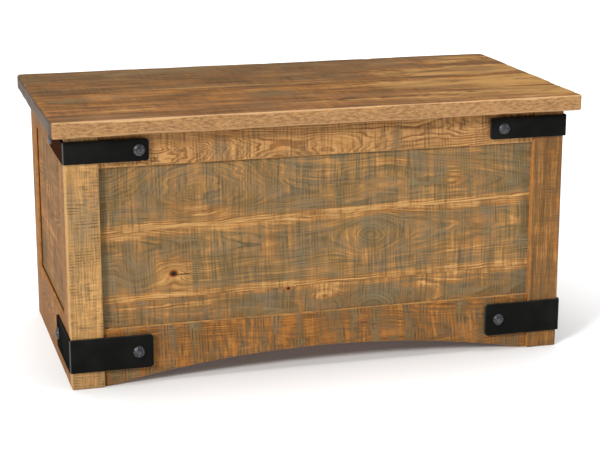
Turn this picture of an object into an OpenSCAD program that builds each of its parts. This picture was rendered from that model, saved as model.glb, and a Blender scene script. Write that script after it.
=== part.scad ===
// Wooden storage chest: a frame-and-panel case, a hinged plank lid and black steel corner straps.
// Millimetres. +Z is up, +X runs along the chest and the front faces -Y.
// The origin is on the floor, under the middle of the whole chest.
// Left-hand pieces are drawn, and right-hand ones are their mirror images.

/* [Lid] */
// Length of the lid, end to end
lid_l = 1067; // [960:1:1180]
// Depth of the lid, front to back
lid_d = 550; // [520:1:600]
// Thickness of the lid boards
lid_t = 32; // [26:1:38]
// How far the lid overhangs the case at each end
end_overhang = 27.5; // [15:0.5:40]
// How far the lid overhangs the case at the front
front_overhang = 28; // [15:0.5:40]
// Gap that the bumpers leave between the case and the closed lid
lid_gap = 2; // [2:0.5:3]
// Width of the battens under the lid
batten_w = 60; // [40:1:80]
// Thickness of the battens under the lid
batten_t = 19; // [12:1:25]
// Distance from the middle batten to the outer ones
batten_pitch = 300; // [200:5:320]

/* [Case] */
// Height of the case, from the floor to its top edge
case_h = 501; // [460:1:560]
// Width of every stile
stile_w = 64; // [50:1:80]
// Thickness of the two front stiles
front_t = 25; // [22:1:32]
// Thickness of the side and back frames
side_t = 19; // [18:1:22]
// How far the front rails sit back from the front stiles
rail_set = 6; // [0:0.5:6]
// Height of the lower edge of the top rails above the floor
open_top = 436.5; // [400:0.5:440]
// Height of the front and back bottom rails
rail_h = 116; // [114:1:130]
// Height of the side bottom rails
side_rail_h = 122; // [114:1:135]
// Rise of the arch under the front rail
arch_rise = 44.5; // [20:0.5:60]
// Flat length left at each end of the arch
arch_flat = 10; // [0:1:40]

/* [Panels] */
// Thickness of the panels and of the grooves that hold them
panel_t = 8; // [6:0.5:10]
// Depth of the panel grooves
groove_d = 8; // [6:0.5:10]
// How far the front panel sits back from the front stiles
front_panel_set = 12.5; // [8:0.5:13]
// How far the side and back panels sit back from their frames
side_panel_set = 6; // [3:0.5:7]
// Upper seam of the front panel, height at its left end
upper_seam_left = 303.5; // [280:0.5:340]
// Upper seam of the front panel, height at its right end
upper_seam_right = 324; // [280:0.5:340]
// Lower seam of the front panel, height at its left end
lower_seam_left = 165.5; // [140:0.5:200]
// Lower seam of the front panel, height at its right end
lower_seam_right = 178; // [140:0.5:200]
// Height of the seam between the two back boards
back_seam = 276; // [200:1:350]

/* [Bottom] */
// Thickness of the bottom boards
bottom_t = 12; // [9:0.5:14]
// Width and height of the cleats under the bottom
cleat_s = 19; // [15:1:20]
// Height of the upper face of the cleats above the floor
cleat_top = 100; // [98:1:102]
// Gap between neighbouring bottom boards
board_gap = 1; // [0.5:0.5:3]

/* [Corner straps] */
// Thickness of the strap steel
strap_t = 4.8; // [3:0.2:6]
// Length of the front leg, from the outer corner
strap_front_l = 165; // [140:1:200]
// Length of the side leg, from the outer corner
strap_side_l = 180; // [150:1:200]
// Height of the upper straps
top_strap_h = 43; // [36:1:48]
// Height of the upper straps' lower edge above the floor
top_strap_z = 448.5; // [446:0.5:450]
// Height of the lower straps
low_strap_h = 67; // [50:1:70]
// Height of the lower straps' lower edge above the floor
low_strap_z = 35.5; // [30:0.5:40]
// Radius of the corners at the ends of the legs
strap_r = 7; // [2:0.5:12]
// Distance from the outer corner to the front bolts
front_bolt_in = 136; // [110:1:140]
// Distance from the outer corner to the upper left front bolt
first_bolt_in = 146; // [110:1:150]
// Distance from the outer corner to the side bolts
side_bolt_in = 156; // [120:1:160]

/* [Strap bolts] */
// Radius of the bolt shank
bolt_r = 4; // [3:0.5:5]
// Radius of the domed head
bolt_head_r = 12.2; // [9:0.1:14]
// Height of the domed head
bolt_head_h = 6.5; // [4:0.5:8]
// Thickness of the nut
nut_t = 6.5; // [5:0.5:8]
// Radius across the corners of the nut
nut_r = 7.5; // [6.5:0.5:8.5]
// Thickness of the washer
washer_t = 1.6; // [1:0.1:2]
// Radius of the washer
washer_r = 9; // [8:0.5:10]

/* [Hinges] */
// Length of a hinge along the lid
leaf_l = 76; // [60:1:90]
// Thickness of a leaf
leaf_t = 2; // [1.5:0.1:2.4]
// Radius of the knuckles
knuckle_r = 4.5; // [4:0.1:6]
// Radius of the hinge pin
pin_r = 2; // [1.5:0.1:2.2]
// Distance from the middle of the chest to each hinge
hinge_x = 350; // [250:5:400]
// How far the lid opens, in degrees
lid_open = 95; // [90:1:100]

/* [Lid stays] */
// Distance from the hinge line to the stay's rivet and to its case screw
stay_radius = 150; // [140:1:155]
// How far the rivet sits below the hinge line with the lid closed
stay_drop = 14; // [13:0.5:15]
// Angle of the case screw below the hinge line, in degrees
stay_angle = 20; // [18:1:22]
// Width of the arm
stay_w = 16; // [14:1:18]
// Thickness of the arm
stay_t = 3; // [2:0.1:3]
// Radius of the rivet and of the case screw's shoulder
stay_pin_r = 3; // [2.5:0.1:3]

/* [Hidden] */
$fn = 64;
over = 1;                 // how far a cutting shape runs past the face that it opens
hole_gap = 0.25;          // clearance round the strap bolts
screw_gap = 0.05;         // clearance round wood screws
run_gap = 0.06;           // radial clearance where a pin turns or slides
side_gap = 0.3;           // clearance beside moving pieces
panel_play = 0.5;         // room left for a panel to swell in its grooves

// Overall places
knuckle_gap = 0.5;
half_w = lid_l / 2 - end_overhang;
lid_front = -(lid_d + knuckle_gap + 2 * knuckle_r) / 2;
back = lid_front + lid_d;
front = lid_front + front_overhang;
lid_z = case_h + lid_gap;
axis_y = back + knuckle_gap + knuckle_r;
axis_z = case_h + lid_gap / 2;
open_x = half_w - stile_w;
inner_x = half_w - side_t;
inner_front = front + front_t;
inner_back = back - side_t;
side_y0 = inner_front + stile_w;
side_y1 = back - stile_w;
front_groove = [front + front_panel_set, front + front_panel_set + panel_t];
side_groove = [-half_w + side_panel_set, -half_w + side_panel_set + panel_t];
back_groove = [back - side_panel_set - panel_t, back - side_panel_set];

// The arch is one circle through both ends of the cut and its crown
arch_half = open_x - arch_flat;
arch_r = (arch_half * arch_half + arch_rise * arch_rise) / (2 * arch_rise);

// Lid boards and battens
board_w = lid_d / 4;
batten_y = [lid_front + 65, back - 45];
batten_screw_y = [for (i = [0:3]) max(lid_front + (i + 0.5) * board_w, batten_y[0] + 20)];
batten_screw_l = 38;

// Bottom boards
bottom_w = (inner_back - inner_front - 3 * board_gap) / 4;
cleat_screw_l = 32;
cleat_screw_x = [-400, -133, 133, 400];
cleat_screw_y = [inner_front + 80, inner_back - 80];
cleat_mid = cleat_top - cleat_s / 2;

// Strap bolts: side of the chest, distance from the outer corner, height
top_bolt_z = top_strap_z + top_strap_h / 2;
low_bolt_z = low_strap_z + low_strap_h / 2;
FRONT_BOLTS = [
    [-1, first_bolt_in, top_bolt_z], [1, front_bolt_in, top_bolt_z],
    [-1, front_bolt_in, low_bolt_z], [1, front_bolt_in, low_bolt_z]
];
side_bolt_y = front - strap_t + side_bolt_in;
SIDE_BOLTS = [[-1, top_bolt_z], [1, top_bolt_z], [-1, low_bolt_z], [1, low_bolt_z]];
bolt_tail = 2;
bolt_grip_front = strap_t + front_t;
bolt_grip_side = strap_t + side_t;

// Hinges
leaf_w = side_t;
knuckle_l = leaf_l / 5;
knuckle_end = 0.15;
leaf_screw_x = [-26, 0, 26];
leaf_screw_y = back - leaf_w / 2;
leaf_screw_l = 18;
screw_r = 1.7;
screw_head_r = 3.4;
screw_head_h = 1.8;

// Lid stays. The rivet Q and the case screw P are at one distance from the hinge line,
// so the line from Q to P turns through exactly half of the lid's angle.
stay_q = [axis_y - sqrt(stay_radius * stay_radius - stay_drop * stay_drop), axis_z - stay_drop];
stay_p = [axis_y - stay_radius * cos(stay_angle), axis_z - stay_radius * sin(stay_angle)];
stay_q_angle = asin(stay_drop / stay_radius);
stay_dir = atan2(stay_p[1] - stay_q[1], stay_p[0] - stay_q[0]);
stay_closed = 2 * stay_radius * sin((stay_angle - stay_q_angle) / 2);
stay_opened = 2 * stay_radius * sin((stay_angle - stay_q_angle + lid_open) / 2);
slot_play = 1;
collar_t = 2;
ear_t = 2.5;
stay_x0 = -inner_x + collar_t + side_gap;
stay_x1 = stay_x0 + stay_t;
ear_x = stay_x1 + side_gap + 0.1;
rivet_head_t = 1.5;
rivet_head_r = 5;
stay_head_r = 6.5;
foot_w = 24;
foot_y = [stay_q[0] - 31, stay_q[0] + stay_w / 2];
foot_screw_y = [stay_q[0] - 23, stay_q[0] - 4];
foot_screw_x = -inner_x + 21;

// Bumpers: place of each on the top edge of the case
bumper_r = 6;
BUMPERS = [
    [-half_w + stile_w / 2, front + front_t / 2], [half_w - stile_w / 2, front + front_t / 2],
    [-half_w + side_t / 2, 0], [half_w - side_t / 2, 0]
];

// Colours
light_wood = "#c49558";
warm_wood = "#b07a3f";
grey_wood = "#97764b";
lid_wood = "#a2743f";
cedar = "#b5714a";
steel_black = "#1c1c1d";
bolt_grey = "#3a3a3b";
zinc = "#8f9296";
brass_grey = "#8a7a55";

// ---- Building shapes ----

// A box between two values on each axis
module block(x, y, z) {
    translate([x[0], y[0], z[0]]) cube([x[1] - x[0], y[1] - y[0], z[1] - z[0]]);
}

// An XZ outline given thickness along Y
module sheet_y(y) {
    translate([0, y[1], 0]) rotate([90, 0, 0]) linear_extrude(y[1] - y[0]) children();
}

// A YZ outline given thickness along X
module sheet_x(x) {
    translate([x[0], 0, 0]) rotate([90, 0, 90]) linear_extrude(x[1] - x[0]) children();
}

// A shape drawn on the left, moved to the given side: -1 left, 1 right
module on_side(side) {
    mirror([side > 0 ? 1 : 0, 0, 0]) children();
}

// A countersunk wood screw, its head's flat face at the origin and its shank down -Z
module wood_screw(length, play = 0) {
    translate([0, 0, -screw_head_h]) cylinder(r1 = screw_r + play, r2 = screw_head_r + play, h = screw_head_h);
    translate([0, 0, -length - play]) cylinder(r = screw_r + play, h = length + play);
}

// ---- Fastener places, used for the fasteners and for their holes ----

module at_front_bolts() {
    for (b = FRONT_BOLTS)
        translate([b[0] * (half_w + strap_t - b[1]), front - strap_t, b[2]]) rotate([-90, 0, 0]) children();
}

module at_side_bolts() {
    for (b = SIDE_BOLTS)
        on_side(b[0]) translate([-half_w - strap_t, side_bolt_y, b[1]]) rotate([0, 90, 0]) children();
}

module at_long_cleat_screws() {
    for (x = cleat_screw_x) {
        translate([x, inner_front + cleat_s, cleat_mid]) rotate([-90, 0, 0]) children();
        translate([x, inner_back - cleat_s, cleat_mid]) rotate([90, 0, 0]) children();
    }
}

module at_short_cleat_screws() {
    for (side = [-1, 1])
        for (y = cleat_screw_y)
            on_side(side) translate([-inner_x + cleat_s, y, cleat_mid]) rotate([0, 90, 0]) children();
}

module at_batten_screws() {
    for (x = [-batten_pitch, 0, batten_pitch])
        for (y = batten_screw_y)
            translate([x, y, lid_z - batten_t]) rotate([180, 0, 0]) children();
}

module at_case_leaf_screws() {
    for (side = [-1, 1])
        for (x = leaf_screw_x)
            translate([side * hinge_x + x, leaf_screw_y, case_h]) children();
}

module at_lid_leaf_screws() {
    for (side = [-1, 1])
        for (x = leaf_screw_x)
            translate([side * hinge_x + x, leaf_screw_y, lid_z]) rotate([180, 0, 0]) children();
}

module at_foot_screws() {
    for (side = [-1, 1])
        for (y = foot_screw_y)
            on_side(side) translate([foot_screw_x, y, lid_z - ear_t]) rotate([180, 0, 0]) children();
}

module bolt_holes() {
    at_front_bolts() translate([0, 0, -over]) cylinder(r = bolt_r + hole_gap, h = bolt_grip_front + 2 * over);
    at_side_bolts() translate([0, 0, -over]) cylinder(r = bolt_r + hole_gap, h = bolt_grip_side + 2 * over);
}

module cleat_screw_holes() {
    at_long_cleat_screws() wood_screw(cleat_screw_l, screw_gap);
    at_short_cleat_screws() wood_screw(cleat_screw_l, screw_gap);
}

// ---- Front frame and panel ----

module front_stile(side) {
    color(light_wood) on_side(side) difference() {
        block([-half_w, -open_x], [front, inner_front], [0, case_h]);
        block([-open_x - groove_d, -open_x + over], front_groove, [-over, case_h + over]);
    }
}

// A rail with a stub tongue at each end
module front_rail_blank(z) {
    block([-open_x, open_x], [front + rail_set, inner_front], z);
    block([-open_x - groove_d, open_x + groove_d], front_groove, z);
}

module front_top_rail() {
    color(warm_wood) difference() {
        front_rail_blank([open_top, case_h]);
        block([-half_w, half_w], front_groove, [open_top - over, open_top + groove_d]);
        bolt_holes();
    }
}

module front_arched_rail() {
    color(warm_wood) difference() {
        front_rail_blank([0, rail_h]);
        block([-half_w, half_w], front_groove, [rail_h - groove_d, rail_h + over]);
        sheet_y([front, inner_front + over]) translate([0, arch_rise - arch_r]) circle(r = arch_r, $fn = 720);
        bolt_holes();
        cleat_screw_holes();
    }
}

// One board of the front panel, between a lower and an upper edge given at its left and right ends
module front_panel_board(low, high) {
    x = open_x + groove_d - panel_play;
    color(grey_wood) sheet_y(front_groove)
        polygon([[-x, low[0]], [x, low[1]], [x, high[1]], [-x, high[0]]]);
}

module front_panel_upper_board() {
    top = open_top + groove_d - panel_play;
    front_panel_board([upper_seam_left, upper_seam_right], [top, top]);
}

module front_panel_middle_board() {
    front_panel_board([lower_seam_left, lower_seam_right], [upper_seam_left, upper_seam_right]);
}

module front_panel_lower_board() {
    low = rail_h - groove_d + panel_play;
    front_panel_board([low, low], [lower_seam_left, lower_seam_right]);
}

// ---- Side frames and panels ----

module side_front_stile(side) {
    color(light_wood) on_side(side) difference() {
        block([-half_w, -inner_x], [inner_front, side_y0], [0, case_h]);
        block(side_groove, [side_y0 - groove_d, side_y0 + over], [-over, case_h + over]);
    }
}

module side_rear_stile(side) {
    color(light_wood) on_side(side) difference() {
        block([-half_w, -inner_x], [side_y1, back], [0, case_h]);
        block(side_groove, [side_y1 - over, side_y1 + groove_d], [-over, case_h + over]);
        block([-inner_x - groove_d, -inner_x + over], back_groove, [-over, case_h + over]);
    }
}

module side_rail_blank(z) {
    block([-half_w, -inner_x], [side_y0, side_y1], z);
    block(side_groove, [side_y0 - groove_d, side_y1 + groove_d], z);
}

module side_top_rail(side) {
    color(warm_wood) difference() {
        on_side(side) difference() {
            side_rail_blank([open_top, case_h]);
            block(side_groove, [side_y0 - groove_d - over, side_y1 + groove_d + over],
                [open_top - over, open_top + groove_d]);
        }
        bolt_holes();
        stay_case_screw(side, screw_gap);
    }
}

module side_bottom_rail(side) {
    color(warm_wood) difference() {
        on_side(side) difference() {
            side_rail_blank([0, side_rail_h]);
            block(side_groove, [side_y0 - groove_d - over, side_y1 + groove_d + over],
                [side_rail_h - groove_d, side_rail_h + over]);
        }
        bolt_holes();
        cleat_screw_holes();
    }
}

module side_panel(side) {
    play = groove_d - panel_play;
    color(grey_wood) on_side(side)
        block(side_groove, [side_y0 - play, side_y1 + play], [side_rail_h - play, open_top + play]);
}

// ---- Back frame and panel ----

module back_rail_blank(z) {
    block([-inner_x, inner_x], [inner_back, back], z);
    block([-inner_x - groove_d, inner_x + groove_d], back_groove, z);
}

module back_top_rail() {
    color(warm_wood) difference() {
        back_rail_blank([open_top, case_h]);
        block([-half_w, half_w], back_groove, [open_top - over, open_top + groove_d]);
        for (side = [-1, 1])
            block([side * hinge_x - leaf_l / 2, side * hinge_x + leaf_l / 2], [inner_back - over, back + over],
                [case_h - leaf_t, case_h + over]);
        at_case_leaf_screws() wood_screw(leaf_screw_l, screw_gap);
    }
}

module back_bottom_rail() {
    color(warm_wood) difference() {
        back_rail_blank([0, rail_h]);
        block([-half_w, half_w], back_groove, [rail_h - groove_d, rail_h + over]);
        cleat_screw_holes();
    }
}

module back_panel_board(z) {
    x = inner_x + groove_d - panel_play;
    color(grey_wood) block([-x, x], back_groove, z);
}

// ---- Bottom ----

module bottom_board(i) {
    y = inner_front + i * (bottom_w + board_gap);
    color(cedar) block([-inner_x, inner_x], [y, y + bottom_w], [cleat_top, cleat_top + bottom_t]);
}

module long_cleat(y) {
    color(cedar) difference() {
        block([-inner_x, inner_x], y, [cleat_top - cleat_s, cleat_top]);
        cleat_screw_holes();
    }
}

module short_cleat(side) {
    color(cedar) difference() {
        on_side(side) block([-inner_x, -inner_x + cleat_s], [inner_front + cleat_s, inner_back - cleat_s],
            [cleat_top - cleat_s, cleat_top]);
        cleat_screw_holes();
    }
}

module cleat_screws() {
    color(zinc) {
        at_long_cleat_screws() wood_screw(cleat_screw_l);
        at_short_cleat_screws() wood_screw(cleat_screw_l);
    }
}

// ---- Lid ----

module lid_board(i) {
    y = lid_front + i * board_w;
    color(lid_wood) difference() {
        block([-lid_l / 2, lid_l / 2], [y, y + board_w], [lid_z, lid_z + lid_t]);
        for (side = [-1, 1])
            block([side * hinge_x - leaf_l / 2, side * hinge_x + leaf_l / 2], [inner_back, back + over],
                [lid_z - over, lid_z + leaf_t]);
        at_batten_screws() wood_screw(batten_screw_l, screw_gap);
        at_lid_leaf_screws() wood_screw(leaf_screw_l, screw_gap);
        at_foot_screws() wood_screw(leaf_screw_l, screw_gap);
    }
}

module lid_batten(x) {
    color(lid_wood) difference() {
        block([x - batten_w / 2, x + batten_w / 2], batten_y, [lid_z - batten_t, lid_z]);
        at_batten_screws() wood_screw(batten_screw_l, screw_gap);
    }
}

module batten_screws() {
    color(zinc) at_batten_screws() wood_screw(batten_screw_l);
}

module lid_bumpers() {
    color("#d9d6cc")
        for (b = BUMPERS)
            translate([b[0], b[1], case_h]) cylinder(r = bumper_r, h = lid_gap);
}

// ---- Corner straps and their bolts ----

// A bar from the origin along X, with its two far corners rounded
module bar_outline(length, height) {
    square([length - strap_r, height]);
    translate([length - strap_r - over, strap_r]) square([strap_r + over, height - 2 * strap_r]);
    for (z = [strap_r, height - strap_r])
        translate([length - strap_r, z]) circle(r = strap_r);
}

module corner_strap(side, z, height) {
    color(steel_black) difference() {
        on_side(side) {
            sheet_y([front - strap_t, front])
                translate([-half_w, z]) bar_outline(strap_front_l - strap_t, height);
            sheet_x([-half_w - strap_t, -half_w])
                translate([front, z]) bar_outline(strap_side_l - strap_t, height);
            intersection() {
                translate([-half_w, front, z]) cylinder(r = strap_t, h = height);
                block([-half_w - strap_t, -half_w], [front - strap_t, front], [z, z + height]);
            }
        }
        bolt_holes();
    }
}

// A dome-head bolt, its head on -Z and its shank up +Z
module strap_bolt(length) {
    dome_r = (bolt_head_r * bolt_head_r + bolt_head_h * bolt_head_h) / (2 * bolt_head_h);
    cylinder(r = bolt_r, h = length);
    intersection() {
        translate([0, 0, dome_r - bolt_head_h]) sphere(r = dome_r, $fn = 96);
        translate([0, 0, -bolt_head_h]) cylinder(r = bolt_head_r, h = bolt_head_h);
    }
}

module strap_bolts() {
    ends = washer_t + nut_t + bolt_tail;
    color(bolt_grey) {
        at_front_bolts() strap_bolt(bolt_grip_front + ends);
        at_side_bolts() strap_bolt(bolt_grip_side + ends);
    }
}

module ring(r, t, sides = 64) {
    difference() {
        cylinder(r = r, h = t, $fn = sides);
        translate([0, 0, -over]) cylinder(r = bolt_r + run_gap, h = t + 2 * over);
    }
}

module strap_washers() {
    color(zinc) {
        at_front_bolts() translate([0, 0, bolt_grip_front]) ring(washer_r, washer_t);
        at_side_bolts() translate([0, 0, bolt_grip_side]) ring(washer_r, washer_t);
    }
}

module strap_nuts() {
    color(zinc) {
        at_front_bolts() translate([0, 0, bolt_grip_front + washer_t]) ring(nut_r, nut_t, 6);
        at_side_bolts() translate([0, 0, bolt_grip_side + washer_t]) ring(nut_r, nut_t, 6);
    }
}

// ---- Hinges ----

// One leaf of a hinge: its plate, and the knuckles numbered from its left end
module hinge_leaf(side, plate_z, knuckles) {
    x0 = side * hinge_x - leaf_l / 2;
    color(brass_grey) difference() {
        union() {
            block([x0, x0 + leaf_l], [inner_back, back], plate_z);
            for (k = knuckles) {
                x1 = x0 + k * knuckle_l + knuckle_end;
                x2 = x0 + (k + 1) * knuckle_l - knuckle_end;
                block([x1, x2], [back - over, axis_y], plate_z);
                translate([x1, axis_y, axis_z]) rotate([0, 90, 0]) cylinder(r = knuckle_r, h = x2 - x1);
            }
        }
        translate([x0 - over, axis_y, axis_z]) rotate([0, 90, 0])
            cylinder(r = pin_r + run_gap, h = leaf_l + 2 * over);
        at_case_leaf_screws() wood_screw(leaf_screw_l, screw_gap);
        at_lid_leaf_screws() wood_screw(leaf_screw_l, screw_gap);
    }
}

module hinge_case_leaf(side) {
    hinge_leaf(side, [case_h - leaf_t, case_h], [0, 2, 4]);
}

module hinge_lid_leaf(side) {
    hinge_leaf(side, [lid_z, lid_z + leaf_t], [1, 3]);
}

module hinge_pins() {
    head_t = 1.2;
    head_r = pin_r + 1;
    color(brass_grey)
        for (side = [-1, 1])
            translate([side * hinge_x, axis_y, axis_z]) rotate([0, 90, 0]) {
                cylinder(r = pin_r, h = leaf_l + head_t, center = true);
                for (end = [-1, 1])
                    translate([0, 0, end * (leaf_l + head_t) / 2]) cylinder(r = head_r, h = head_t, center = true);
            }
}

module hinge_case_screws() {
    color(brass_grey) at_case_leaf_screws() wood_screw(leaf_screw_l);
}

module lid_hardware_screws() {
    color(brass_grey) {
        at_lid_leaf_screws() wood_screw(leaf_screw_l);
        at_foot_screws() wood_screw(leaf_screw_l);
    }
}

// ---- Lid stays ----

// A round-ended slot or bar along +X between two centres
module stadium(x0, x1, r) {
    translate([x0, -r]) square([x1 - x0, 2 * r]);
    for (x = [x0, x1])
        translate([x, 0]) circle(r = r);
}

module stay_arm(side) {
    slot_end = stay_opened + slot_play;
    color(brass_grey) on_side(side) sheet_x([stay_x0, stay_x1])
        translate(stay_q) rotate(stay_dir) difference() {
            stadium(0, slot_end + stay_w / 3, stay_w / 2);
            circle(r = stay_pin_r + run_gap);
            stadium(stay_closed - slot_play, slot_end, stay_pin_r + run_gap);
        }
}

module stay_bracket(side) {
    color(brass_grey) difference() {
        on_side(side) {
            sheet_x([ear_x, ear_x + ear_t]) translate(stay_q) difference() {
                union() {
                    circle(r = stay_w / 2);
                    translate([-stay_w / 2, 0]) square([stay_w, lid_z - stay_q[1]]);
                }
                circle(r = stay_pin_r + run_gap);
            }
            block([ear_x, ear_x + foot_w], foot_y, [lid_z - ear_t, lid_z]);
        }
        at_foot_screws() wood_screw(leaf_screw_l, screw_gap);
    }
}

// A rivet through the arm and the bracket's ear, with a head at each end
module stay_rivets() {
    x0 = stay_x0 - side_gap;
    x1 = ear_x + ear_t;
    color(zinc)
        for (side = [-1, 1])
            on_side(side) translate([x0 - rivet_head_t, stay_q[0], stay_q[1]]) rotate([0, 90, 0]) {
                cylinder(r = rivet_head_r, h = rivet_head_t);
                cylinder(r = stay_pin_r, h = x1 - x0 + 2 * rivet_head_t);
                translate([0, 0, x1 - x0 + rivet_head_t]) cylinder(r = rivet_head_r, h = rivet_head_t);
            }
}

// A shoulder screw: shank in the rail, collar, shoulder in the slot, flat head
module stay_case_screw(side, play = 0) {
    shank_l = 13;
    shoulder_l = collar_t + side_gap + stay_t + side_gap;
    on_side(side) translate([-inner_x - shank_l - play, stay_p[0], stay_p[1]]) rotate([0, 90, 0]) {
        cylinder(r = 2.5 + play, h = shank_l + play);
        translate([0, 0, shank_l + play]) cylinder(r = stay_head_r, h = collar_t);
        translate([0, 0, shank_l + play]) cylinder(r = stay_pin_r, h = shoulder_l);
        translate([0, 0, shank_l + play + shoulder_l]) cylinder(r = stay_head_r, h = ear_t);
    }
}

module stay_case_screws() {
    color(zinc)
        for (side = [-1, 1])
            stay_case_screw(side);
}

// ---- Nodes ----

front_stile(-1);  // front_left_stile
front_stile(1);  // front_right_stile
front_top_rail();
front_arched_rail();
front_panel_upper_board();
front_panel_middle_board();
front_panel_lower_board();
side_front_stile(-1);  // left_front_stile
side_rear_stile(-1);  // left_rear_stile
side_top_rail(-1);  // left_top_rail
side_bottom_rail(-1);  // left_bottom_rail
side_panel(-1);  // left_panel
side_front_stile(1);  // right_front_stile
side_rear_stile(1);  // right_rear_stile
side_top_rail(1);  // right_top_rail
side_bottom_rail(1);  // right_bottom_rail
side_panel(1);  // right_panel
back_top_rail();
back_bottom_rail();
back_panel_board([back_seam, open_top + groove_d - panel_play]);  // back_panel_upper_board
back_panel_board([rail_h - groove_d + panel_play, back_seam]);  // back_panel_lower_board
bottom_board(0);  // bottom_board_1
bottom_board(1);  // bottom_board_2
bottom_board(2);  // bottom_board_3
bottom_board(3);  // bottom_board_4
long_cleat([inner_front, inner_front + cleat_s]);  // front_cleat
long_cleat([inner_back - cleat_s, inner_back]);  // back_cleat
short_cleat(-1);  // left_cleat
short_cleat(1);  // right_cleat
cleat_screws();
lid_board(0);  // lid_board_1
lid_board(1);  // lid_board_2
lid_board(2);  // lid_board_3
lid_board(3);  // lid_board_4
lid_batten(-batten_pitch);  // left_lid_batten
lid_batten(0);  // middle_lid_batten
lid_batten(batten_pitch);  // right_lid_batten
batten_screws();
corner_strap(-1, top_strap_z, top_strap_h);  // top_left_strap
corner_strap(1, top_strap_z, top_strap_h);  // top_right_strap
corner_strap(-1, low_strap_z, low_strap_h);  // bottom_left_strap
corner_strap(1, low_strap_z, low_strap_h);  // bottom_right_strap
strap_bolts();
strap_washers();
strap_nuts();
hinge_case_leaf(-1);  // left_hinge_case_leaf
hinge_lid_leaf(-1);  // left_hinge_lid_leaf
hinge_case_leaf(1);  // right_hinge_case_leaf
hinge_lid_leaf(1);  // right_hinge_lid_leaf
hinge_pins();
hinge_case_screws();
lid_hardware_screws();
stay_arm(-1);  // left_stay_arm
stay_arm(1);  // right_stay_arm
stay_bracket(-1);  // left_stay_bracket
stay_bracket(1);  // right_stay_bracket
stay_rivets();
stay_case_screws();
lid_bumpers();
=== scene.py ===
"""Looks of a rough-sawn wooden chest with black steel corner straps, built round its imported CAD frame.

Everything is in metres, in the frame of the CAD part: the floor is z = 0 and the chest's front faces -Y.
"""

import bmesh
import bpy
import functools
import math
import numpy as np
from dataclasses import dataclass, replace
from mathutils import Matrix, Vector, noise


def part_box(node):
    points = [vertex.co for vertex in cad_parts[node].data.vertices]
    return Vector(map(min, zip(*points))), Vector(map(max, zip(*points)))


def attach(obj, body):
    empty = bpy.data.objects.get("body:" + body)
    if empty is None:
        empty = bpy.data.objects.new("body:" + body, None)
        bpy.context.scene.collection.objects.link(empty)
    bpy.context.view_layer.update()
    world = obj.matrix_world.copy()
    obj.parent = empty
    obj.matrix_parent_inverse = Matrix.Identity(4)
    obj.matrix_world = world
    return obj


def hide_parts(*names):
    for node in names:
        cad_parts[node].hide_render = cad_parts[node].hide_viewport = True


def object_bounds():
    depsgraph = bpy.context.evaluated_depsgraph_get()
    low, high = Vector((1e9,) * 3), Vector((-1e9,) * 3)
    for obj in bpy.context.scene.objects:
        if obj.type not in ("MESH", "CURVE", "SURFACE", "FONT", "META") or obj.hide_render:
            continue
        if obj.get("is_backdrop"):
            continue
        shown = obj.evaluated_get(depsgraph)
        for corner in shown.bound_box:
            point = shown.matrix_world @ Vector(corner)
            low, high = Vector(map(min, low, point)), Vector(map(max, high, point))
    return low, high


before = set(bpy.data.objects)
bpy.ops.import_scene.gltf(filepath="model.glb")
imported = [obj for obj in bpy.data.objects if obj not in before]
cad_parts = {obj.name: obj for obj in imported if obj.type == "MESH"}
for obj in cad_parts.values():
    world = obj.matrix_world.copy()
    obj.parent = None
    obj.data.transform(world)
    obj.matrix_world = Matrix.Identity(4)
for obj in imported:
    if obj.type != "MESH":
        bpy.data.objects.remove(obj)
cad_low, cad_high = (list(corner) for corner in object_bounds())

MM = 0.001
case_low, case_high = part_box("front_left_stile")
FLOOR = 0.0
FRONT = case_low.y
HALF_W = -case_low.x
STILE_W = case_high.x - case_low.x
CASE_H = case_high.z
RAIL_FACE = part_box("front_top_rail")[0].y
OPEN_X = HALF_W - STILE_W
OPEN_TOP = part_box("front_top_rail")[0].z
RAIL_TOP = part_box("front_arched_rail")[1].z
ARCH_RISE = 44.5 * MM
ARCH_FLAT = 10 * MM


# ---- Camera ----

AZIMUTH = math.radians(-15.62)
ELEVATION = math.radians(14.91)
DISTANCE = 3.5725
LENS = 100.87
TARGET = Vector((0.022, 0.0, 0.43 * cad_high[2]))


def add_camera():
    back = Vector((
        math.sin(AZIMUTH) * math.cos(ELEVATION),
        -math.cos(AZIMUTH) * math.cos(ELEVATION),
        math.sin(ELEVATION),
    ))
    camera = bpy.data.objects.new("camera", bpy.data.cameras.new("camera"))
    camera.data.lens = LENS
    camera.data.sensor_width = 36.0
    camera.location = TARGET + DISTANCE * back
    camera.rotation_euler = back.to_track_quat("Z", "Y").to_euler()
    bpy.context.scene.collection.objects.link(camera)
    bpy.context.scene.camera = camera


# ---- Small helpers for node materials ----

def rgb(text):
    """A linear colour from sRGB hex text."""
    values = [int(text[i:i + 2], 16) / 255 for i in (1, 3, 5)]
    linear = [v / 12.92 if v <= 0.04045 else ((v + 0.055) / 1.055) ** 2.4 for v in values]
    return (*linear, 1.0)


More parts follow.
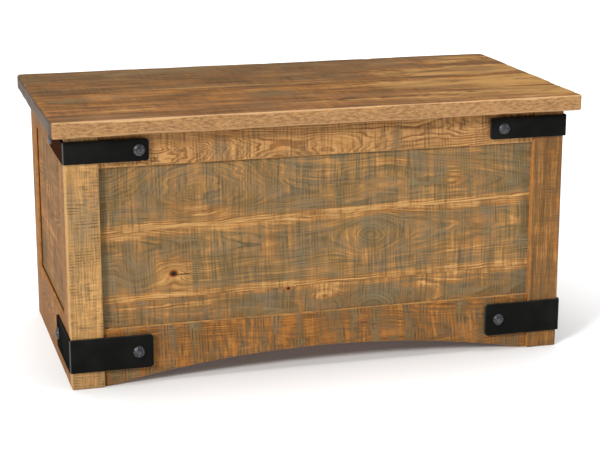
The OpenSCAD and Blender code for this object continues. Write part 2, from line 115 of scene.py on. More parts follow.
class Field:
    """A number that varies over the surface: the output of a node, with arithmetic."""

    def __init__(self, graph, socket):
        self.graph = graph
        self.socket = socket

    def math(self, operation, *others, clamp=False):
        node = self.graph.node("ShaderNodeMath", operation=operation, use_clamp=clamp)
        self.graph.feed(node.inputs[0], self)
        for i, other in enumerate(others, 1):
            self.graph.feed(node.inputs[i], other)
        return Field(self.graph, node.outputs[0])

    def __add__(self, other):
        return self.math("ADD", other)

    def __sub__(self, other):
        return self.math("SUBTRACT", other)

    def __mul__(self, other):
        return self.math("MULTIPLY", other)

    def __rsub__(self, other):
        return self * -1.0 + other

    __radd__ = __add__
    __rmul__ = __mul__

    def clamp(self):
        return self.math("ADD", 0.0, clamp=True)

    def step(self, low, high, out_low=0.0, out_high=1.0):
        """Rises smoothly from out_low at low to out_high at high."""
        node = self.graph.node("ShaderNodeMapRange", interpolation_type="SMOOTHSTEP")
        for name, value in zip(
            ("Value", "From Min", "From Max", "To Min", "To Max"), (self, low, high, out_low, out_high)
        ):
            self.graph.feed(node.inputs[name], value)
        return Field(self.graph, node.outputs[0])


class Graph:
    """The node tree of one material."""

    def __init__(self, name):
        self.material = bpy.data.materials.new(name)
        self.material.use_nodes = True
        self.tree = self.material.node_tree
        self.tree.nodes.clear()
        self.output = self.node("ShaderNodeOutputMaterial")
        self.shader = self.node("ShaderNodeBsdfPrincipled")
        self.tree.links.new(self.shader.outputs[0], self.output.inputs["Surface"])

    def node(self, kind, **settings):
        node = self.tree.nodes.new(kind)
        for key, value in settings.items():
            setattr(node, key, value)
        return node

    def feed(self, socket, value):
        if isinstance(value, Field):
            self.tree.links.new(value.socket, socket)
        else:
            socket.default_value = value

    def position(self):
        """X, Y and Z in the CAD frame, in metres, as three fields."""
        split = self.node("ShaderNodeSeparateXYZ")
        self.tree.links.new(self.node("ShaderNodeTexCoord").outputs["Object"], split.inputs[0])
        return [Field(self, output) for output in split.outputs]

    def normal(self):
        """X, Y and Z of the surface's normal in the piece's own frame, as three fields."""
        split = self.node("ShaderNodeSeparateXYZ")
        self.tree.links.new(self.node("ShaderNodeTexCoord").outputs["Normal"], split.inputs[0])
        return [Field(self, output) for output in split.outputs]

    def vector(self, *parts):
        node = self.node("ShaderNodeCombineXYZ")
        for socket, part in zip(node.inputs, parts):
            self.feed(socket, part)
        return Field(self, node.outputs[0])

    def noise(self, x, y, z, detail=2.0, roughness=0.5):
        """Noise from 0 to 1, about 0.5 on average, with a period of about 1 in each input."""
        node = self.node("ShaderNodeTexNoise", noise_dimensions="3D")
        self.feed(node.inputs["Vector"], self.vector(x, y, z))
        node.inputs["Scale"].default_value = 1.0
        node.inputs["Detail"].default_value = detail
        node.inputs["Roughness"].default_value = roughness
        return Field(self, node.outputs[0])

    def mix(self, amount, a, b):
        node = self.node("ShaderNodeMix", data_type="RGBA")
        self.feed(node.inputs[0], amount)
        self.feed(node.inputs[6], a)
        self.feed(node.inputs[7], b)
        return Field(self, node.outputs[2])

    def ramp(self, value, stops):
        node = self.node("ShaderNodeValToRGB")
        self.feed(node.inputs[0], value)
        elements = node.color_ramp.elements
        while len(elements) < len(stops):
            elements.new(0.5)
        for element, (place, colour) in zip(elements, stops):
            element.position = place
            element.color = colour
        return Field(self, node.outputs[0])

    def finish(self, colour, roughness, height, bump_mm, metallic=0.0, specular=0.35):
        bump = self.node("ShaderNodeBump")
        bump.inputs["Distance"].default_value = bump_mm * MM
        self.feed(bump.inputs["Height"], height)
        self.feed(self.shader.inputs["Base Color"], colour)
        self.feed(self.shader.inputs["Roughness"], roughness)
        self.tree.links.new(bump.outputs[0], self.shader.inputs["Normal"])
        self.shader.inputs["Metallic"].default_value = metallic
        self.shader.inputs["Specular IOR Level"].default_value = specular
        return self.material


# ---- Wood ----

# Which CAD axes run along a board, across its face and through its thickness
ALONG_X = (0, 2, 1)
ALONG_Z = (2, 0, 1)
SIDE_RAIL = (1, 2, 0)
SIDE_STILE = (2, 1, 0)
PLANK = (0, 1, 2)
BATTEN = (1, 0, 2)

EMBER = "#b87329"
CRACK = "#2f2118"
# Colour of the painted shade in the inner corners where a panel meets its frame
PAINTED_CREVICE_SHADE = "#1c120b"
KNOT_STOPS = ((0.0, "#b5763a"), (0.45, "#9a5c25"), (0.7, "#6b3d19"), (0.88, "#38241a"), (1.0, "#1d1512"))


@dataclass(frozen=True)
class Look:
    """How a board's solid wood looks. Sizes are in mm, and places (along, across) are in the CAD frame."""

    # Colours: fresh wood, its late wood, weathered wood in two shades, dirt in saw marks and pores,
    # weathered late wood, and wood that is planed clear
    light: str
    dark: str
    grey: str
    cool: str
    mark: str
    pale: str = "#8c7a57"
    honey: str = "#c79a5f"
    # Colours of the board's long narrow sides and of its end grain, if they differ
    rim: str | None = None
    end: str | None = None
    # Colour of the rounded edges and its strength along the sides and at the ends, where set: a painted
    # highlight on the lid, painted shade round the side panels
    painted_edge_light_shade: tuple | None = None

    # Where the pith lies across and below the board's middle, and how fast it dives along the board
    pith: tuple = (20, -50)
    slope: float = 0.05
    # Distance between growth rings, and how dark their late wood is
    ring: float = 4.5
    ring_depth: float = 0.5
    # Greyness all over, and the length and width of its patches
    greyness: float = 0.5
    grey_size: tuple = (150, 55)
    # Strength, distance and length of the saw marks; strength of their broad bands and dark dashes
    sawing: float = 0.6
    saw_pitch: float = 6.2
    saw_length: float = 70
    banding: float = 0.6
    streaks: float = 0.5
    # Strength of the lines that follow the rings, of the dark strands, and the strands' width
    lining: float = 0.5
    stranding: float = 0.4
    strand_width: float = 24
    # Strength of the reddish patches
    glow: float = 0.2

    # Knots are (along, across, radius) and cracks (along, across, half length, half width)
    knots: tuple = ()
    cracks: tuple = ()
    # Humps in the rings: (along, across, half length, half width, tilt, rings added)
    eyes: tuple = ()
    # Weathered or clear patches, some of them painted shade: (along, across, half length, half width, tilt,
    # greyness added)
    patches: tuple = ()
    # Stripes over the opening's width: (across at -X, across at +X, half width, greyness added)
    bands: tuple = ()
    # Painted shade in the inner corner where a panel meets its frame, in m: (depth in the CAD frame, half
    # width)
    crevice_shade: tuple | None = None

    roughness: float = 0.68
    bump: float = 0.4


def largest(fields):
    """The largest of some fields at each point, or None if there are none."""
    return functools.reduce(lambda a, b: a.math("MAXIMUM", b), fields) if fields else None


class Wood(Graph):
    """The node tree of one board's wood: rings round a pith, fibres, saw marks and grey weathering."""

    def __init__(self, name, centre, axes, seed, look):
        super().__init__(name)
        self.look = look
        self.shift = seed * 7.31
        place = self.position()
        self.here = [place[axis] for axis in axes]
        self.along, self.across, self.deep = (self.here[i] - centre[axis] for i, axis in enumerate(axes))
        facing = [part.math("ABSOLUTE") for part in self.normal()]
        self.flat = facing[0].math("MAXIMUM", facing[1]).math("MAXIMUM", facing[2])
        self.at_end, self.at_side, self.at_face = (facing[axis] for axis in axes)
        self.add_rings()
        self.add_fibres()
        self.add_saw_marks()
        self.add_weathering()

    def reach(self, at_along, at_across, half_l, half_w, tilt=0.0):
        """0 at a feature's middle and 1 on its rim."""
        u = (self.here[0] - at_along * MM) * (1.0 / (half_l * MM))
        v = (self.here[1] - at_across * MM) * (1.0 / (half_w * MM)) - u * tilt
        return (u * u + v * v).math("SQRT")

    def add_rings(self):
        """Growth rings, wandering slowly along the board, humped at eyes and pushed aside by knots."""
        look, s = self.look, self.shift
        along, across, deep = self.along, self.across, self.deep
        self.drift = self.noise(along * 2.2 + s, across * 7.0, deep * 7.0, detail=1.5) - 0.5
        ripple = self.noise(along * 12.0 + s, across * 38.0 + s, deep * 38.0, detail=2.5, roughness=0.6)
        self.ripple = ripple - 0.5
        side = across - look.pith[0] * MM + self.drift * 0.044
        down = deep - look.pith[1] * MM + along * look.slope + self.drift * 0.06
        radius = (side * side + down * down).math("SQRT") + self.ripple * 0.009
        for *spot, rings in look.eyes:
            inside = self.reach(*spot) + self.ripple * 0.25
            radius = radius - inside.step(0.0, 1.0, rings * look.ring * MM, 0.0)
        cores = []
        for knot_along, knot_across, knot_r in look.knots:
            away = self.reach(knot_along, knot_across, knot_r * 1.2, knot_r)
            radius = radius + away.step(0.0, 7.5, knot_r * 4.5 * MM, 0.0)
            cores.append((away + self.ripple * 2.4).step(0.5, 3.4, 1.0, 0.0))
        self.core = largest(cores)
        turn = (radius * (1.0 / (look.ring * MM)) + self.ripple * 0.3).math("FRACT")
        strength = self.noise(radius * 75.0 + s, along * 5.0, across * 5.0, detail=1.0)
        strength = strength.step(0.36, 0.62, 0.2, 1.0)
        self.late = turn.step(0.42, 0.92) * turn.step(0.94, 1.0, 1.0, 0.0) * strength
        self.lines = self.noise(radius * 430.0 + s, along * 11.0, across * 9.0, detail=2.5, roughness=0.62)

    def add_fibres(self):
        """Fine fibres and pores, strands, and slow changes of tone and warmth."""
        s = self.shift
        along, across, deep = self.along, self.across, self.deep
        narrow = 1000.0 / self.look.strand_width
        self.fibre = self.noise(along * 26.0, across * 640.0 + s, deep * 640.0, roughness=0.6)
        self.pores = self.noise(along * 80.0 + s, across * 1000.0, deep * 1000.0, detail=1.0).step(0.6, 0.72)
        self.tone = self.noise(along * 5.0 + s, across * 15.0, deep * 15.0, detail=2.5)
        self.strand = self.noise(along * 4.5 - s, across * narrow, deep * narrow, detail=2.5, roughness=0.6)
        self.warmth = self.noise(along * 13.0 - s, across * 22.0, deep * 22.0, detail=3.0, roughness=0.62)

    def add_saw_marks(self):
        """Saw marks across the board, slightly slanted: fine ones in broad bands, with dashes and ridges."""
        look, s = self.look, self.shift
        along, across, deep = self.along, self.across, self.deep
        skew = along + across * 0.03 + self.drift * 0.012
        length = 1000.0 / look.saw_length
        u, v = across * length, deep * length
        self.saw = self.noise(skew * (1200.0 / look.saw_pitch), u + s, v, detail=1.0)
        self.broad = self.noise(skew * 38.0 + s, across * 5.0, deep * 5.0, roughness=0.6)
        stroke = self.noise(skew * 16.0 + s, across * 3.0, deep * 3.0, detail=1.0) * 3.0
        teeth = ((skew * (1000.0 / look.saw_pitch) + stroke) * (2 * math.pi)).math("SINE")
        bite = self.noise(skew * 42.0 - s, u * 1.2, v * 1.2, roughness=0.6)
        self.dash = teeth.step(0.1, 0.95) * bite.step(0.48, 0.62) * self.broad.step(0.36, 0.60, 0.3, 1.0)
        self.ridge = teeth.step(-0.95, -0.2, 1.0, 0.0) * bite.step(0.46, 0.6)
        # Some parts show more saw marks and others more rings
        zone = self.noise(along * 7.0 - s, across * 11.0, deep * 11.0, detail=1.5)
        self.zone = zone.step(0.38, 0.60, 0.2, 1.3)

    def add_weathering(self):
        """Soft patches of greyness that break up along the saw marks and the fibre lines."""
        look, s = self.look, self.shift
        size = [1000.0 / mm for mm in look.grey_size]
        cloud = self.noise(
            self.along * size[0] + s, self.across * size[1], self.deep * 4.0, detail=3.0, roughness=0.58
        )
        amount = (cloud - 0.5) * 0.8 + (self.saw - 0.5) * self.zone * (look.sawing * 3.4)
        amount = amount + (self.broad - 0.5) * look.banding * 2.0 + look.greyness
        amount = amount + (self.lines - 0.5) * look.lining * 2.4 + self.ripple * 0.3
        for *spot, added in look.patches:
            amount = amount + (self.reach(*spot) + self.ripple * 0.8).step(0.15, 1.25, added, 0.0)
        for start, finish, half_w, added in look.bands:
            line = self.here[0] * ((finish - start) * MM / (2 * OPEN_X)) + (start + finish) / 2 * MM
            off = (self.here[1] - line + self.ripple * 0.012).math("ABSOLUTE")
            amount = amount + off.step(half_w * 0.4 * MM, half_w * 1.5 * MM, added, 0.0)
        self.greying = amount.step(-0.25, 1.15)
        self.clear = amount.step(-0.7, 0.15, 1.0, 0.0)
        self.sawn = 1.0 - self.clear * 0.75

    def fresh(self):
        """Colour of fresh wood: darker in late wood, lines, strands and saw marks, reddish in places."""
        look = self.look
        shade = self.late * (1.5 - self.zone * 0.7) * look.ring_depth
        shade = shade + (self.lines - 0.5) * look.lining * 1.6 + (self.tone - 0.5) * 0.9
        shade = shade + (self.fibre - 0.5) * 0.35 + (self.strand - 0.5) * look.stranding
        crossed = (self.broad - 0.5) * look.banding * 0.6
        crossed = crossed + (self.saw - 0.5) * self.zone * (look.sawing * 1.5)
        shade = shade + crossed * self.sawn - self.clear * 0.12 + 0.36
        colour = self.mix(self.clear, rgb(look.light), rgb(look.honey))
        colour = self.mix(shade.clamp(), colour, rgb(look.dark))
        return self.mix(self.warmth.step(0.5, 0.66) * look.glow * self.sawn, colour, rgb(EMBER))

    def aged(self):
        """Colour of weathered wood: dirt in the lines and saw marks, and late wood paler than the rest."""
        look = self.look
        dirt = (self.lines - 0.5) * 1.6 + (self.saw - 0.5) * 1.6 + 0.12
        colour = self.mix(self.warmth.step(0.38, 0.62), rgb(look.grey), rgb(look.cool))
        colour = self.mix(dirt.clamp(), colour, rgb(look.mark))
        return self.mix(self.late * (1.5 - self.zone * 0.7) * 0.55, colour, rgb(look.pale))

    def with_marks(self, colour, split):
        """Adds dashes, ridges, pores, knots and cracks."""
        look = self.look
        colour = self.mix(self.dash * self.sawn * look.streaks, colour, rgb(look.mark))
        colour = self.mix(self.ridge * self.sawn * look.sawing * 0.45, colour, rgb(look.light))
        colour = self.mix(self.pores * 0.3, colour, rgb(look.mark))
        if self.core is not None:
            ringed = self.ramp(self.core, [(place, rgb(text)) for place, text in KNOT_STOPS])
            colour = self.mix(self.core.step(0.0, 0.5), colour, ringed)
        if split is not None:
            colour = self.mix(split * 0.85, colour, rgb(CRACK))
        return colour

    def with_edges(self, colour):
        """Adds planed sides, rounded edges lightened by wear and a painted highlight, painted shade round a
        panel, and end grain.
        """
        look = self.look
        along, across, deep = self.along, self.across, self.deep
        if look.rim is not None:
            u, v, w = along * 70.0 + deep * 130.0, across * 60.0, deep * 260.0 - along * 40.0
            fleck = self.noise(u, v, w, detail=3.0, roughness=0.65)
            planed = (fleck - 0.5) * 2.4 + (self.tone - 0.5) * 0.9 + self.late * 0.1 + 0.24
            planed = self.mix(planed.clamp(), rgb(look.rim), rgb(look.dark))
            colour = self.mix(self.at_side.step(0.45, 0.9) * 0.9, colour, planed)
        # Rounded edges: by default lighter wood, partly wear and partly a painted highlight; a look's own
        # edge colour is a painted highlight on the lid's long edges and painted shade round the side panels
        edge_wear_and_painted_light, at_sides, at_ends = look.painted_edge_light_shade or (look.light, 0.45, 0.45)
        worn = (self.flat.step(0.82, 0.985, 1.0, 0.0) + (self.tone - 0.5)).clamp()
        colour = self.mix(worn * self.at_end.step(0.1, 0.4, at_sides, at_ends), colour, rgb(edge_wear_and_painted_light))
        # Painted shade: a dark line in the inner corner where the frame meets the panel
        if look.crevice_shade is not None:
            depth, half_w = look.crevice_shade
            off = (self.here[2].math("ABSOLUTE") - depth).math("ABSOLUTE")
            line = off.step(half_w * 0.6, half_w, 1.0, 0.0)
            colour = self.mix(line * self.at_face.step(0.3, 0.6, 0.95, 0.0), colour, rgb(PAINTED_CREVICE_SHADE))
        if look.end is not None:
            grain = (self.late * 0.5 + self.pores * 0.5 + (self.tone - 0.5) + 0.3).clamp()
            grain = self.mix(grain, rgb(look.end), rgb(look.mark))
            colour = self.mix(self.at_end.step(0.55, 0.9) * 0.85, colour, grain)
        return colour

    def finished(self):
        """The material, with fine relief in its normals."""
        look = self.look
        gaps = [self.reach(*spot) + self.ripple * 0.9 for spot in look.cracks]
        split = largest([gap.step(0.5, 1.0, 1.0, 0.0) for gap in gaps])
        colour = self.mix(self.greying * 0.9, self.fresh(), self.aged())
        colour = self.with_edges(self.with_marks(colour, split))
        height = (self.saw - 0.5) * look.sawing + self.dash * look.streaks * -0.3 + self.lines * 0.5
        height = height + self.fibre * 0.25 + self.late * 0.25 - self.pores * 0.3
        if split is not None:
            height = height - split * 2.0
        rough = (self.fibre - 0.5) * 0.25 + self.greying * 0.12 + look.roughness
        return self.finish(colour, rough.clamp(), height, look.bump, specular=0.18)


# ---- Meshes ----

SMOOTH_ANGLE = math.radians(35)


def new_piece(name, vertices, faces):
    mesh = bpy.data.meshes.new(name)
    mesh.from_pydata([tuple(v) for v in vertices], [], faces)
    mesh.validate()
    mesh.shade_smooth()
    mesh.set_sharp_from_angle(angle=SMOOTH_ANGLE)
    piece = bpy.data.objects.new(name, mesh)
    bpy.context.scene.collection.objects.link(piece)
    return piece


EDGE_LINES = (0.0, 0.12, 0.35, 0.65, 1.0)


def grid_lines(low, high, r_low, r_high, step):
    """Places of the grid lines along one side of a board, closer together in its rounded edges."""
    inner_low, inner_high = low + r_low, high - r_high
    count = max(1, int(round((inner_high - inner_low) / step)))
    start = [low + share * r_low for share in EDGE_LINES]
    end = [high - share * r_high for share in EDGE_LINES[::-1]]
    return np.array(start + list(np.linspace(inner_low, inner_high, count + 1)[1:-1]) + end)


def block_surface(lines):
    """Vertices and faces of a box whose sides are divided at the given lines."""
    index, vertices, faces = {}, [], []

    def vertex(key):
        if key not in index:
            index[key] = len(vertices)
            vertices.append([lines[axis][key[axis]] for axis in range(3)])
        return index[key]

    for axis in range(3):
        u, v = (axis + 1) % 3, (axis + 2) % 3
        for end in (0, len(lines[axis]) - 1):
            for i in range(len(lines[u]) - 1):
                for j in range(len(lines[v]) - 1):
                    corners = []
                    for di, dj in ((0, 0), (1, 0), (1, 1), (0, 1)):
                        key = [0, 0, 0]
                        key[axis], key[u], key[v] = end, i + di, j + dj
                        corners.append(vertex(tuple(key)))
                    faces.append(corners if end else corners[::-1])
    return np.array(vertices), faces


# Edges sharper than this don't wear
LEAST_WORN = 0.8 * MM


def rounded_board(low, high, radii, step, wear, seed):
    """A board with worn, slightly uneven edges. radii are those on the low and high side of each axis."""
    r_low, r_high = np.array(radii, float).T * MM
    lines = [grid_lines(low[axis], high[axis], r_low[axis], r_high[axis], step) for axis in range(3)]
    points, faces = block_surface(lines)
    r = np.where(points > (low + high) / 2, r_high, r_low)
    on_arris = (np.minimum(points - low, high - points) < r * 1.01).sum(axis=1) > 1
    worn = np.ones(len(points))
    # Long shallow hollows and short deeper nicks
    for i in np.flatnonzero(on_arris):
        spot = Vector(points[i])
        chip = noise.noise(spot * 9.0 + Vector((seed, 0, 0)))
        nick = noise.noise(spot * 34.0 + Vector((0, seed, 0)))
        worn[i] += wear * (0.55 * chip + 0.9 * min(max(nick - 0.25, 0.0), 1.0))
    r = np.where(r > LEAST_WORN, r * np.clip(worn, 0.5, 1.9)[:, None], r)
    inner = np.clip(points, low + r, high - r)
    unit = (points - inner) / r
    length = np.linalg.norm(unit, axis=1)
    unit /= np.maximum(length, 1.0)[:, None]
    placed = inner + unit * r
    swell = np.sin(points @ (23.0, 31.0, 27.0) + seed) * np.sin(points @ (-17.0, 13.0, 37.0) + seed)
    face_normal = np.where(np.abs(unit) > 0.999, np.sign(unit), 0.0)
    placed -= face_normal * ((1.0 + swell) * wear * 0.1 * MM)[:, None]
    return placed, faces


def arch_height(x):
    """Height of the front rail's lower edge above the floor, on one circle through its ends and crown."""
    half = OPEN_X - ARCH_FLAT
    radius = (half * half + ARCH_RISE * ARCH_RISE) / (2 * ARCH_RISE)
    return np.where(np.abs(x) < half, np.sqrt(np.maximum(radius**2 - x**2, 0)) - (radius - ARCH_RISE), 0.0)


def stretch_between(points, low_z, high_z, bottom, top):
    """Moves z so that the box's lower and upper faces follow the heights bottom(x) and top(x)."""
    share = (points[:, 2] - low_z) / (high_z - low_z)
    x = points[:, 0]
    points[:, 2] = bottom(x) + share * (top(x) - bottom(x))
    return points


# ---- The wooden pieces ----

GLUED_EASING = 0.25


def easing(edge, glued):
    """Edge radii in mm on both sides of X, Y and Z; glued sides, such as '+x', are almost sharp."""
    radii = [[edge, edge] for _ in range(3)]
    for name in glued:
        radii["xyz".index(name[1])][0 if name[0] == "-" else 1] = GLUED_EASING
    return radii


def add_board(
    node, body, slot, axes, look, seed, edge=2.0, glued=(), wear=1.0, trim=None, shape=None, step=14.0
):
    """A visible board in place of a CAD node, cut to the box trim; shape moves its points afterwards."""
    low, high = (np.array(corner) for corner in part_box(node))
    if trim is not None:
        low = np.maximum(low, trim[0])
        high = np.minimum(high, trim[1])
    points, faces = rounded_board(low, high, easing(edge, glued), step * MM, wear, float(seed))
    if shape is not None:
        points = shape(points, low, high)
    piece = new_piece(node + "_wood", points, faces)
    piece.data.materials.append(Wood(node + "_grain", (low + high) / 2, axes, seed, look).finished())
    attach(piece, body)
    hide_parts(node)


STILE = Look(
    light="#c5965a", dark="#946a3a", grey="#86704d", cool="#80735c", mark="#5c472b", honey="#c9a06a",
    rim="#c49a62", end="#7a5c3a", pith=(70, -45), slope=0.02, ring=3.2, ring_depth=0.45, greyness=0.3,
    sawing=0.35, saw_length=20, banding=0.3, streaks=0.8, lining=0.9, stranding=1.0, strand_width=8,
    glow=0.15, bump=0.18,
)
RAIL = Look(
    light="#cf9c60", dark="#7d5129", grey="#776140", cool="#75664d", mark="#47341d", rim="#c99c60",
    end="#7a5c3a", pith=(0, -30), slope=0.06, ring=5.2, ring_depth=1.3, greyness=0.1, sawing=0.45,
    saw_pitch=6.8, saw_length=50, banding=0.55, streaks=0.6, glow=0.25, bump=0.45,
)
PANEL = Look(
    light="#b08149", dark="#714922", grey="#67583a", cool="#6c6450", mark="#4b3f27", pale="#978660",
    end="#7a5c3a", pith=(0, -35), slope=0.04, ring=4.4, ring_depth=0.6, greyness=0.6, sawing=0.45,
    saw_length=75, banding=1.1, lining=1.0, glow=0.3, bump=0.3,
)
LID = Look(
    light="#906034", dark="#513118", grey="#594224", cool="#5b4a30", mark="#33230f", pale="#755f3d",
    # The edge colour here is a painted highlight along the lid's long edges
    honey="#a57c46", rim="#b58a5a", end="#42342a", painted_edge_light_shade=("#cba172", 0.6, 0.05), pith=(10, -60),
    slope=0.02, ring=4.0, ring_depth=0.45, greyness=0.25, grey_size=(320, 50), sawing=0.18, banding=0.35,
    streaks=0.08, lining=0.6, stranding=2.6, glow=0.15, bump=0.3, roughness=0.5,
)
CEDAR = Look(
    light="#c98d60", dark="#96583a", grey="#ad8160", cool="#a88468", mark="#75482c", pith=(0, -50),
    ring=4.0, ring_depth=0.6, greyness=0.0, sawing=0.1, banding=0.1, streaks=0.05, bump=0.2, roughness=0.6,
)

LEFT_STILE = replace(STILE, patches=((320, -475, 75, 50, 0.0, 0.35), (120, -475, 50, 50, 0.0, -0.2)))
RIGHT_STILE = replace(
    STILE, light="#986937", dark="#56361a", grey="#614c2e", cool="#5d4a30", honey="#b08048", rim="#b37a40",
    greyness=0.25, sawing=0.25, banding=0.55, streaks=0.6, lining=1.0, stranding=2.2, strand_width=10,
    glow=0.5,
)
TOP_RAIL = replace(
    RAIL, ring=3.8, ring_depth=1.1,
    eyes=((-330, 400, 260, 140, 0.0, 17.0), (20, 420, 160, 60, 0.1, 7.0), (330, 500, 160, 60, -0.1, 6.0)),
    patches=((-208, 465, 16, 40, 0.0, 0.7), (152, 460, 12, 40, 0.0, 0.7), (20, 465, 90, 40, 0.0, -0.3)),
)
ARCHED_RAIL = replace(
    RAIL, light="#9c662e", dark="#432610", honey="#ac773a", ring_depth=0.5, greyness=0.3, sawing=0.95,
    saw_length=45, banding=1.9, streaks=0.65, lining=0.9, glow=0.6,
    patches=((-150, 80, 30, 50, 0.0, 0.25), (120, 85, 34, 50, 0.0, 0.3), (330, 60, 90, 50, 0.0, 0.3)),
)


def add_front():
    for side, look, seed in (("left", LEFT_STILE, 3), ("right", RIGHT_STILE, 8)):
        add_board(
            f"front_{side}_stile", "case", "stile_wood", ALONG_Z, look, seed, edge=2.6, glued=("+y",)
        )
    rail = dict(edge=1.8, glued=("-x", "+x"), trim=[(-OPEN_X, RAIL_FACE, FLOOR), (OPEN_X, 1.0, CASE_H)])
    add_board("front_top_rail", "case", "rail_wood", ALONG_X, TOP_RAIL, 12, **rail)

    def arched(points, low, high):
        return stretch_between(points, low[2], high[2], arch_height, lambda x: np.full_like(x, high[2]))

    add_board("front_arched_rail", "case", "rail_wood", ALONG_X, ARCHED_RAIL, 14, shape=arched, **rail)


# Heights of the front panel's seams in mm, at the left and right of the opening
LOWER_SEAM = (165.5, 178.0)
UPPER_SEAM = (303.5, 324.0)
SMALL_KNOT = (-69, 167, 2.2)

# In each front board the patches at 431 and -437 along darken the panel beside the stiles: painted shade of
# the stiles
UPPER_BOARD = replace(
    PANEL, greyness=0.66, pith=(-10, -35), eyes=((-240, 420, 200, 120, 0.0, 15.0),),
    patches=(
        (-228, 338, 90, 15, -0.7, -1.3), (-330, 318, 90, 12, 0.0, -0.6), (-360, 390, 60, 50, 0.0, 0.1),
        (-60, 400, 90, 45, 0.0, 0.2), (276, 368, 24, 34, 0.0, -0.7), (150, 415, 45, 8, -0.5, -0.7),
        (-110, 412, 40, 20, 0.0, -0.3), (431, 370, 15, 90, 0.0, 0.9), (-437, 370, 12, 90, 0.0, 0.8),
    ),
    bands=((UPPER_SEAM[0] + 4, UPPER_SEAM[1] + 3, 8, -1.2),),
)
MIDDLE_BOARD = replace(
    PANEL, pith=(25, -40), knots=((-300, 216, 3.8), SMALL_KNOT), cracks=((-280, 214.0, 21, 2.3),),
    eyes=((-372, 222, 50, 48, 0.0, 7.0), (100, 262, 90, 64, 0.0, 7.0)),
    patches=(
        (-372, 222, 46, 42, 0.0, 0.4), (-296, 216, 38, 38, 0.0, -1.6), (-256, 216, 8, 42, 0.0, 0.9),
        (112, 296, 42, 28, 0.0, 0.9), (70, 262, 18, 40, 0.0, -0.3), (96, 226, 40, 16, 0.0, -0.4),
        (-200, 262, 60, 38, 0.0, 0.3), (-232, 240, 8, 60, 0.0, -0.5), (-110, 265, 14, 50, 0.0, -0.6),
        (-20, 245, 60, 45, 0.0, 0.2), (60, 300, 10, 30, 0.0, 0.5), (310, 232, 90, 26, 0.0, -0.3),
        (431, 250, 15, 90, 0.0, 0.85), (-437, 240, 12, 110, 0.0, 0.8), (104, 268, 50, 40, 0.0, 0.45),
        (-400, 298, 60, 14, 0.0, -0.8),
    ),
    bands=((UPPER_SEAM[0] - 5, UPPER_SEAM[1] - 6, 7, -0.8), (LOWER_SEAM[0] + 4, LOWER_SEAM[1] + 6, 8, -0.9)),
)
LOWER_BOARD = replace(
    PANEL, light="#a47540", pith=(-20, -30), knots=(SMALL_KNOT,),
    eyes=((8, 148, 42, 24, 0.0, 4.0), (110, 120, 110, 60, 0.0, 7.0)),
    patches=(
        (-120, 150, 55, 18, 0.0, 0.7), (8, 150, 36, 14, 0.0, -1.1), (120, 140, 60, 26, 0.0, 0.6),
        (-330, 152, 110, 7, 0.0, -0.9), (-300, 162, 120, 4, 0.1, 0.5), (250, 155, 90, 9, 0.1, -0.6),
        (431, 140, 15, 60, 0.0, 0.8), (-437, 140, 12, 60, 0.0, 0.8),
    ),
    bands=((LOWER_SEAM[0] - 4, LOWER_SEAM[1] - 4, 5, -0.5),),
)

# How far the visible panels reach behind their frames
LAP = 2 * MM
SIDE_LAP = 0.4 * MM


def add_front_panel():
    """Three glued boards with slanting seams, set behind the rails."""
    below, above = RAIL_TOP - LAP, OPEN_TOP + LAP
    lower, upper = ([height * MM for height in seam] for seam in (LOWER_SEAM, UPPER_SEAM))
    for place, bottom, top, glued, look, seed in (
        ("lower", (below, below), lower, ("+z",), LOWER_BOARD, 20),
        ("middle", lower, upper, ("-z", "+z"), MIDDLE_BOARD, 23),
        ("upper", upper, (above, above), ("-z",), UPPER_BOARD, 26),
    ):

        def slanted(points, low, high, bottom=bottom, top=top):
            def line(ends):
                return lambda x: ends[0] + (ends[1] - ends[0]) * (x + OPEN_X) / (2 * OPEN_X)
            return stretch_between(points, low[2], high[2], line(bottom), line(top))

        add_board(
            f"front_panel_{place}_board", "case", "panel_wood", ALONG_X, look, seed, edge=1.0, glued=glued,
            shape=slanted, trim=[(-OPEN_X - LAP, FRONT, FLOOR), (OPEN_X + LAP, 1.0, CASE_H)],
        )


SIDE_PANEL_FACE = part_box("right_panel")[1].x
RAIL_TOP_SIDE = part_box("left_bottom_rail")[1].z
SHADE = dict(light="#a06c34", dark="#6b4117", grey="#604624", cool="#5c4930", honey="#b3833f", greyness=0.2)
# The side frames carry painted shade in their inner corners round the side panels
SIDE_FRAME = dict(SHADE, rim="#bf7d3c", crevice_shade=(SIDE_PANEL_FACE, 2.4 * MM))
SIDE_PANEL = replace(
    # The dark edge colour here is painted shade of the groove round the side panel
    replace(PANEL, **SHADE), greyness=0.42, painted_edge_light_shade=("#20150d", 0.95, 0.95), knots=((60, 330, 3.0),),
    bands=((250, 246, 7, -0.35),),
    eyes=((60, 330, 90, 50, 0.0, 5.0), (-80, 190, 80, 44, 0.0, 4.0)),
    patches=((-90, 190, 60, 30, 0.0, 0.3), (60, 330, 30, 26, 0.0, -0.8), (-20, 390, 50, 30, 0.0, 0.25)),
)
BACK_PANEL = replace(
    PANEL, knots=((180, 205, 3.4), (-330, 350, 2.6)), bands=((288, 268, 9, -0.9),),
    eyes=((180, 205, 90, 50, 0.0, 6.0), (-330, 350, 110, 50, 0.0, 6.0)),
    patches=((180, 205, 36, 30, 0.0, -0.9), (-330, 350, 40, 30, 0.0, -0.7), (-80, 220, 120, 40, 0.0, 0.3)),
)


